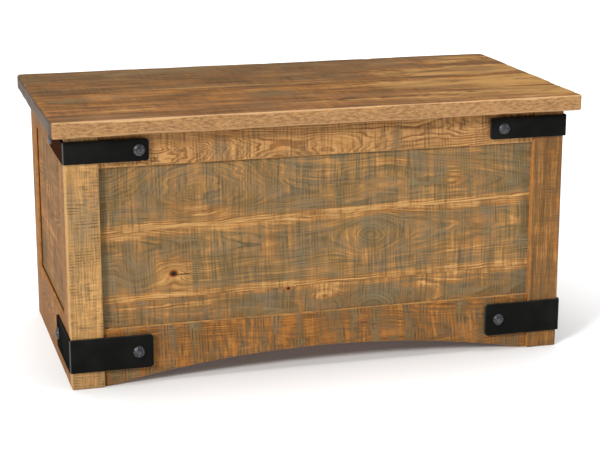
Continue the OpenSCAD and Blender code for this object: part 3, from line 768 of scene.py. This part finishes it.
def add_side(side, seed):
    for i, place in enumerate(("front", "rear")):
        add_board(
            f"{side}_{place}_stile", "case", "stile_wood", SIDE_STILE,
            replace(STILE, **SIDE_FRAME, saw_length=50), seed + i, glued=("-y",) if place == "front" else (),
        )
    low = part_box(f"{side}_front_stile")[1].y
    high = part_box(f"{side}_rear_stile")[0].y
    for i, place in enumerate(("top", "bottom")):
        add_board(
            f"{side}_{place}_rail", "case", "rail_wood", SIDE_RAIL, replace(RAIL, **SIDE_FRAME),
            seed + 10 + i, edge=1.6, glued=("-y", "+y"), trim=[(-1.0, low, FLOOR), (1.0, high, CASE_H)],
        )
    add_board(
        f"{side}_panel", "case", "panel_wood", SIDE_RAIL, SIDE_PANEL, seed + 20, edge=3.5,
        trim=[
            (-1.0, low - SIDE_LAP, RAIL_TOP_SIDE - SIDE_LAP), (1.0, high + SIDE_LAP, OPEN_TOP + SIDE_LAP)
        ],
    )


def add_back():
    low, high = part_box("left_rear_stile")
    inner_x = high.x
    for i, place in enumerate(("top", "bottom")):
        add_board(
            f"back_{place}_rail", "case", "rail_wood", ALONG_X, RAIL, 60 + i, edge=1.6, glued=("-x", "+x"),
            trim=[(inner_x, -1.0, FLOOR), (-inner_x, high.y, CASE_H)],
        )
    for i, (place, seam) in enumerate((("upper", "-z"), ("lower", "+z"))):
        add_board(
            f"back_panel_{place}_board", "case", "panel_wood", ALONG_X, BACK_PANEL, 66 + i, edge=1.0,
            glued=(seam,),
            trim=[(inner_x - LAP, -1.0, RAIL_TOP - LAP), (LAP - inner_x, 1.0, OPEN_TOP + LAP)],
        )


def add_bottom():
    for i in range(1, 5):
        add_board(f"bottom_board_{i}", "case", "cedar", PLANK, CEDAR, 70 + i, edge=1.2, step=20.0)
    for i, (place, axes) in enumerate(
        (("front", ALONG_X), ("back", ALONG_X), ("left", SIDE_RAIL), ("right", SIDE_RAIL))
    ):
        add_board(f"{place}_cleat", "case", "cedar", axes, CEDAR, 76 + i, edge=1.2, step=24.0)


LID_CORNER = 11 * MM
LID_LOOKS = (
    replace(
        LID, patches=(
            (-380, -190, 90, 12, 0.0, -0.8), (100, -205, 160, 14, 0.0, -0.8),
            (430, -200, 260, 70, 0.0, -1.5),
        ),
    ),
    replace(
        LID, light="#8f5f2d", dark="#4c2c11", greyness=0.15, glow=0.35,
        patches=(
            (-475, -75, 60, 28, 0.0, 1.1), (-250, -60, 70, 16, 0.0, 0.6), (-61, -95, 60, 32, 0.0, 1.1),
            (400, -80, 300, 70, 0.0, -1.7),
        ),
    ),
    replace(
        LID, light="#83572b", dark="#4a2c14", greyness=0.4,
        patches=((-150, 8, 420, 7, 0.0, -1.3), (60, 60, 160, 20, 0.0, 0.6), (420, 60, 280, 70, 0.0, -1.6)),
    ),
    replace(
        LID, light="#7c532b", dark="#4b2f19", greyness=0.5,
        patches=(
            (-250, 205, 190, 40, 0.0, 0.7), (60, 215, 120, 26, 0.0, 0.5), (440, 200, 150, 60, 0.0, -1.2),
        ),
    ),
)


def lid_corners(points, *_):
    """Rounds the lid's four corners as seen from above."""
    lid_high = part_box("lid_board_4")[1]
    centre = np.array((lid_high.x, lid_high.y)) - LID_CORNER
    out = np.abs(points[:, :2]) - centre
    at_corner = (out > 0).all(axis=1)
    share = out[at_corner].max(axis=1) / np.linalg.norm(out[at_corner], axis=1)
    points[at_corner, :2] = np.sign(points[at_corner, :2]) * (centre + out[at_corner] * share[:, None])
    return points


def add_lid():
    last = len(LID_LOOKS)
    for i, look in enumerate(LID_LOOKS, 1):
        glued = [side for side, joined in (("-y", i > 1), ("+y", i < last)) if joined]
        add_board(
            f"lid_board_{i}", "lid", "lid_wood", PLANK, look, 80 + i, edge=6.5, glued=glued, wear=1.5,
            step=12.0, shape=lid_corners,
        )
    for i, place in enumerate(("left", "middle", "right")):
        add_board(
            f"{place}_lid_batten", "lid", "lid_wood", BATTEN, replace(LID, rim=None), 90 + i, edge=2.5,
            step=20.0,
        )


# ---- Steel and hardware ----

def black_steel():
    g = Graph("black_steel")
    x, y, z = g.position()
    speckle = g.noise(x * 900.0, y * 900.0, z * 900.0, detail=2.0)
    cloud = g.noise(x * 18.0, y * 18.0, z * 18.0, detail=3.0)
    colour = g.mix(cloud.step(0.35, 0.75), rgb("#161615"), rgb("#1e1e1c"))
    facing = [part.math("ABSOLUTE") for part in g.normal()]
    flat = facing[0].math("MAXIMUM", facing[1]).math("MAXIMUM", facing[2])
    # Lighter grey on edges and bends: partly wear of the black finish, partly a painted highlight
    worn = flat.step(0.72, 0.96, 1.0, 0.0) * (cloud * 0.7 + speckle * 0.5).step(0.35, 0.7, 0.25, 1.0)
    colour = g.mix(worn * 0.5, colour, rgb("#6b6967"))
    # Brown on the side legs just under the lid: painted shade carrying the lid's warm reflected colour
    painted_shade_under_lid = facing[0].step(0.9, 0.99) * z.step(0.44, 0.45)
    colour = g.mix(painted_shade_under_lid * 0.85, colour, rgb("#371f13"))
    # Lighter grey down the middle of each bend: a painted highlight
    bend = facing[0].step(0.35, 0.66) * facing[1].step(0.35, 0.66)
    colour = g.mix(bend * 0.8, colour, rgb("#545653"))
    return g.finish(colour, cloud * 0.16 + speckle * 0.1 + 0.42, speckle + cloud * 2.0, 0.08, specular=0.0)


def hammered_steel():
    g = Graph("hammered_steel")
    x, y, z = g.position()
    dents = g.noise(x * 260.0, y * 260.0, z * 260.0, detail=1.0)
    cloud = g.noise(x * 700.0, y * 700.0, z * 700.0, detail=2.0)
    colour = g.mix((dents * 0.6 + cloud * 0.4).step(0.35, 0.7), rgb("#232325"), rgb("#5e6064"))
    return g.finish(colour, cloud * 0.25 + 0.28, dents * 0.6 + cloud * 0.4, 0.3, metallic=0.65, specular=0.5)


def plain_metal(name, bright, dull, metallic=0.9):
    g = Graph(name)
    x, y, z = g.position()
    cloud = g.noise(x * 60.0, y * 60.0, z * 60.0, detail=3.0)
    scratch = g.noise(x * 90.0, y * 1400.0, z * 1400.0, detail=1.0)
    colour = g.mix(cloud.step(0.3, 0.75), rgb(bright), rgb(dull))
    return g.finish(colour, cloud * 0.25 + scratch * 0.1 + 0.22, scratch + cloud, 0.05, metallic=metallic)


def rubber():
    g = Graph("bumper_rubber")
    x, y, z = g.position()
    cloud = g.noise(x * 200.0, y * 200.0, z * 200.0, detail=3.0)
    colour = g.mix(cloud.step(0.3, 0.7), rgb("#c9c5b8"), rgb("#b3aea0"))
    return g.finish(colour, cloud * 0.2 + 0.5, cloud, 0.1)


def keep_node(node, material, bevel_mm=0.3):
    """A CAD node shown as it is, with softened edges and its own material."""
    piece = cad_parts[node]
    weld = piece.modifiers.new("weld", "WELD")
    weld.merge_threshold = 0.00002
    bevel = piece.modifiers.new("soften", "BEVEL")
    bevel.width = bevel_mm * MM
    bevel.segments = 2
    bevel.limit_method = "ANGLE"
    bevel.angle_limit = SMOOTH_ANGLE
    piece.data.materials.clear()
    piece.data.materials.append(material)


STRAP_T = 4.8 * MM
STRAP_CORNER = 7 * MM
BEND_R = 5.2 * MM


def rounded_outline(length, height, corner, steps=8):
    """Outline of a strap laid flat, centred on the bend, with rounded ends."""
    points = []
    left, right = length[0] + corner, length[1] - corner
    top = height - corner
    for cx, cz, start in ((right, top, 0), (left, top, 90), (left, corner, 180), (right, corner, 270)):
        for i in range(steps + 1):
            angle = math.radians(start + 90 * i / steps)
            points.append((cx + corner * math.cos(angle), cz + corner * math.sin(angle)))
    return points


def add_strap(node, material):
    """A flat bar with softened edges, bent round the front corner of the case."""
    low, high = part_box(node)
    side = -1 if low.x < 0 else 1
    front_leg = high.x - low.x
    side_leg = high.y - low.y
    height = high.z - low.z
    # Flat bar: s runs from the side leg's end (negative) to the front leg's end (positive)
    bend = math.pi / 2 * BEND_R
    bm = bmesh.new()
    ends = (-(side_leg - BEND_R) - bend / 2, (front_leg - BEND_R) + bend / 2)
    rim = [bm.verts.new((s, 0, z)) for s, z in rounded_outline(ends, height, STRAP_CORNER)]
    face = bm.faces.new(rim)
    grown = bmesh.ops.extrude_face_region(bm, geom=[face])
    moved = [v for v in grown["geom"] if isinstance(v, bmesh.types.BMVert)]
    bmesh.ops.translate(bm, verts=moved, vec=(0, STRAP_T, 0))
    bm.normal_update()
    edges = [e for e in bm.edges if len(e.link_faces) == 2 and e.calc_face_angle(0) > 1.0]
    bmesh.ops.bevel(bm, geom=edges, offset=0.9 * MM, segments=3, affect="EDGES", profile=0.5)
    cuts = list(np.linspace(-bend / 2, bend / 2, 9))
    cuts += list(np.linspace(ends[0] + STRAP_CORNER, -bend / 2 - 2 * MM, 10))
    cuts += list(np.linspace(bend / 2 + 2 * MM, ends[1] - STRAP_CORNER, 10))
    for s in cuts:
        everything = bm.verts[:] + bm.edges[:] + bm.faces[:]
        bmesh.ops.bisect_plane(bm, geom=everything, plane_co=(s, 0, 0), plane_no=(1, 0, 0), dist=1e-6)
    corner = Vector((-HALF_W - STRAP_T + BEND_R, FRONT - STRAP_T + BEND_R))
    for v in bm.verts:
        s, depth, z = v.co
        r = BEND_R - depth
        if s > bend / 2:
            x, y = corner.x + (s - bend / 2), corner.y - r
        elif s < -bend / 2:
            x, y = corner.x - r, corner.y - (s + bend / 2)
        else:
            angle = math.pi * 1.25 + s / BEND_R
            x, y = corner.x + r * math.cos(angle), corner.y + r * math.sin(angle)
        v.co = (x if side < 0 else -x, y, low.z + z)
    bmesh.ops.recalc_face_normals(bm, faces=bm.faces)
    mesh = bpy.data.meshes.new(node + "_bar")
    bm.to_mesh(mesh)
    bm.free()
    mesh.shade_smooth()
    mesh.set_sharp_from_angle(angle=math.radians(40))
    mesh.materials.append(material)
    piece = bpy.data.objects.new(node + "_bar", mesh)
    bpy.context.scene.collection.objects.link(piece)
    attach(piece, "case")
    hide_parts(node)


def solid_boxes(node):
    """Lowest and highest corner of each separate solid of a CAD node."""
    bm = bmesh.new()
    bm.from_mesh(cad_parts[node].data)
    bmesh.ops.remove_doubles(bm, verts=bm.verts, dist=0.00001)
    boxes = []
    left = set(bm.verts)
    while left:
        found = [left.pop()]
        for vert in found:
            for edge in vert.link_edges:
                other = edge.other_vert(vert)
                if other in left:
                    left.remove(other)
                    found.append(other)
        places = np.array([vert.co for vert in found])
        boxes.append((places.min(axis=0), places.max(axis=0)))
    bm.free()
    return sorted(boxes, key=lambda box: tuple(np.round(box[0], 4)))


HEAD_R = 12.2 * MM
HEAD_H = 6.5 * MM
SHANK_R = 4.0 * MM
THREAD_PITCH = 1.25 * MM
THREAD_LENGTH = 14 * MM
DENT_SPACING = 5.5 * MM
DENT_DEPTH = 1.7 * MM


def bolt_profile(length):
    """Radius and depth from the crown of a domed bolt to the end of its threaded shank."""
    profile = []
    for angle in np.radians(np.linspace(6, 90, 13)):
        profile.append((HEAD_R * math.sin(angle), HEAD_H * (1 - math.cos(angle))))
    profile.append((HEAD_R * 0.97, HEAD_H + 0.35 * MM))
    profile.append((SHANK_R, HEAD_H + 0.35 * MM))
    depth = length - THREAD_LENGTH
    while depth < length - 1.6 * MM:
        profile.append((SHANK_R, depth))
        profile.append((SHANK_R * 0.87, depth + THREAD_PITCH / 2))
        depth += THREAD_PITCH
    profile += [(SHANK_R * 0.9, length - 0.8 * MM), (SHANK_R * 0.7, length)]
    return profile


def add_bolts(material):
    """Hand-hammered domes on threaded shanks, one where each CAD bolt is."""
    sides = 36
    vertices, faces = [], []
    for low, high in solid_boxes("strap_bolts"):
        size = high - low
        middle = Vector((low + high) / 2)
        if size[1] > size[0]:
            inward, crown = Vector((0, 1, 0)), Vector((middle.x, low[1], middle.z))
        else:
            out = -1.0 if middle.x < 0 else 1.0
            outer = low[0] if out < 0 else high[0]
            inward, crown = Vector((-out, 0, 0)), Vector((outer, middle.y, middle.z))
        up = Vector((0, 0, 1))
        across = up.cross(inward)
        start = len(vertices)
        profile = bolt_profile(max(size))
        vertices.append(crown)
        for r, depth in profile:
            for k in range(sides):
                angle = 2 * math.pi * k / sides
                point = crown + inward * depth + (across * math.cos(angle) + up * math.sin(angle)) * r
                if depth < HEAD_H * 0.9:
                    near = noise.voronoi(point / DENT_SPACING)[0][0]
                    point += inward * max(0.0, 0.42 - near) * DENT_DEPTH
                vertices.append(point)
        for k in range(sides):
            faces.append((start, start + 1 + (k + 1) % sides, start + 1 + k))
        for ring in range(len(profile) - 1):
            for k in range(sides):
                here = start + 1 + ring * sides + k
                over = start + 1 + ring * sides + (k + 1) % sides
                faces.append((here, over, over + sides, here + sides))
        last = start + 1 + (len(profile) - 1) * sides
        faces.append(tuple(last + k for k in range(sides)))
    piece = new_piece("hammered_bolts", vertices, faces)
    mesh = bmesh.new()
    mesh.from_mesh(piece.data)
    bmesh.ops.recalc_face_normals(mesh, faces=mesh.faces)
    mesh.to_mesh(piece.data)
    mesh.free()
    piece.data.materials.append(material)
    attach(piece, "case")
    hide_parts("strap_bolts")


# ---- Stage and light ----

FLOOR_SIZE = 30.0
FLOOR_GLOW = 0.06
WORLD_LIGHT = 0.10
# Name, strength, spread in degrees and the way to each far light
SUNS = (
    ("key", 2.75, 12, (-0.69, -0.55, 0.47)),
    ("fill", 0.55, 12, (0.72, -0.50, 0.47)),
    ("overhead", 3.4, 60, (0.0, 0.16, 1.0)),
)


def add_stage():
    mesh = bpy.data.meshes.new("floor")
    corners = [(x * FLOOR_SIZE, y * FLOOR_SIZE, 0) for x, y in ((-1, -1), (1, -1), (1, 1), (-1, 1))]
    mesh.from_pydata(corners, [], [(0, 1, 2, 3)])
    floor = bpy.data.objects.new("floor", mesh)
    bpy.context.scene.collection.objects.link(floor)
    g = Graph("pale_floor")
    x, y, z = g.position()
    cloud = g.noise(x * 3.0, y * 3.0, z, detail=2.0)
    paper = g.mix(cloud, (0.79, 0.79, 0.79, 1), (0.81, 0.81, 0.81, 1))
    floor.data.materials.append(g.finish(paper, 0.8, cloud, 0.1, specular=0.1))
    g.shader.inputs["Emission Color"].default_value = (1, 1, 1, 1)
    g.shader.inputs["Emission Strength"].default_value = FLOOR_GLOW
    floor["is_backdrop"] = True


def add_light():
    """White surroundings, softboxes far off to the front left and right, and a wide one overhead."""
    world = bpy.data.worlds.new("studio")
    world.use_nodes = True
    background = world.node_tree.nodes["Background"]
    background.inputs[0].default_value = (1, 1, 1, 1)
    background.inputs[1].default_value = WORLD_LIGHT
    bpy.context.scene.world = world
    for name, strength, spread, towards in SUNS:
        light = bpy.data.lights.new(name, "SUN")
        light.energy = strength
        light.angle = math.radians(spread)
        lamp = bpy.data.objects.new(name, light)
        lamp.rotation_euler = Vector(towards).to_track_quat("Z", "Y").to_euler()
        bpy.context.scene.collection.objects.link(lamp)
    bpy.context.scene.view_settings.view_transform = "Standard"


add_camera()
add_stage()
add_light()
add_front()
add_front_panel()
add_side("left", 34)
add_side("right", 30)
add_back()
add_bottom()
add_lid()

black = black_steel()
for strap in ("top_left_strap", "top_right_strap", "bottom_left_strap", "bottom_right_strap"):
    add_strap(strap, black)
add_bolts(hammered_steel())
zinc = plain_metal("zinc_steel", "#b9bcc0", "#8b8e92")
brass = plain_metal("antique_brass", "#a58a52", "#6d5a34")
for node in (
    "strap_washers", "strap_nuts", "cleat_screws", "batten_screws", "stay_rivets", "stay_case_screws",
):
    keep_node(node, zinc)
for node in (
    "left_hinge_case_leaf", "left_hinge_lid_leaf", "right_hinge_case_leaf", "right_hinge_lid_leaf",
    "hinge_pins", "hinge_case_screws", "lid_hardware_screws", "left_stay_arm", "right_stay_arm",
    "left_stay_bracket", "right_stay_bracket",
):
    keep_node(node, brass, 0.2)
keep_node("lid_bumpers", rubber())
